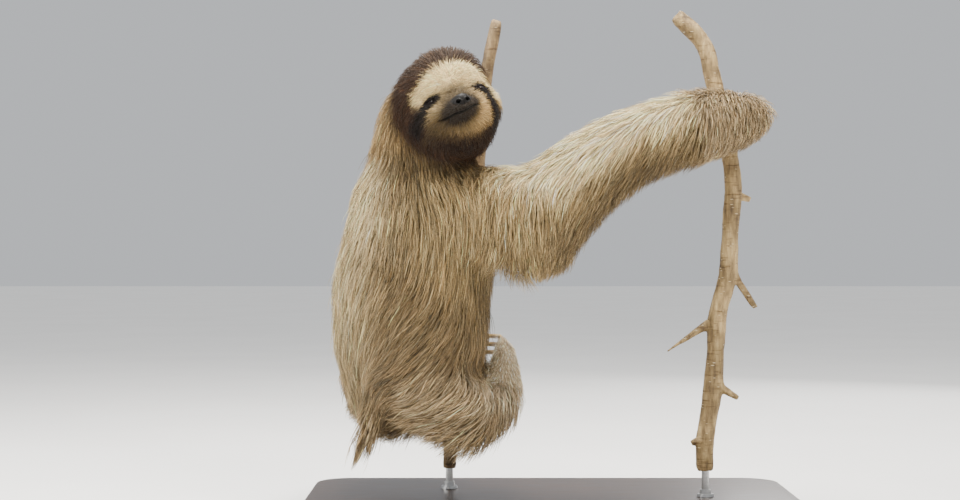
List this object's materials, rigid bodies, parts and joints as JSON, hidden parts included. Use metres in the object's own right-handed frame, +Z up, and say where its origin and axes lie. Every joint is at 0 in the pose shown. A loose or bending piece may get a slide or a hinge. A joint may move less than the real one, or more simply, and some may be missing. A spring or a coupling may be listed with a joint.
{
  "type": "three-toed sloth display model",
  "caption": "Life-size still model of a three-toed sloth with shaggy coat, clinging to cut stems on a flat display base.",
  "frame": {"origin": "middle of the base's underside", "axes": "+Z up; +X along the stretched right arm, from the body to the thicker stem; the face looks towards -Y"},
  "size_m": [0.52, 0.34, 0.5338],
  "materials": {
    "coat": "long coarse grey-brown coat",
    "mask": "short pale coat with dark eye stripes and throat",
    "horn": "pale yellowish horn",
    "eye": "wet, near black",
    "nose": "damp dark skin",
    "bark": "thin bark with pale spots",
    "plinth": "dark satin lacquer",
    "steel": "satin"
  },
  "bodies": {
    "root": {"torso": "coat", "neck": "coat", "tail": "coat", "arm_right_upper": "coat", "arm_right_fore": "coat", "hand_right": "coat", "arm_left_upper": "coat", "arm_left_fore": "coat", "hand_left": "coat", "leg_right": "coat", "foot_right": "coat", "leg_left": "coat", "foot_left": "coat", "head": "mask", "nose": "nose", "eye_left": "eye", "eye_right": "eye", "claw_hand_right_1": "horn", "claw_hand_right_2": "horn", "claw_hand_right_3": "horn", "claw_hand_left_1": "horn", "claw_hand_left_2": "horn", "claw_hand_left_3": "horn", "claw_foot_right_1": "horn", "claw_foot_right_2": "horn", "claw_foot_right_3": "horn", "claw_foot_left_1": "horn", "claw_foot_left_2": "horn", "claw_foot_left_3": "horn", "perch_stem": "bark", "perch_branch": "bark", "stand_base": "plinth", "stand_rod_stem": "steel", "stand_rod_branch": "steel"}
  },
  "joints": []
}
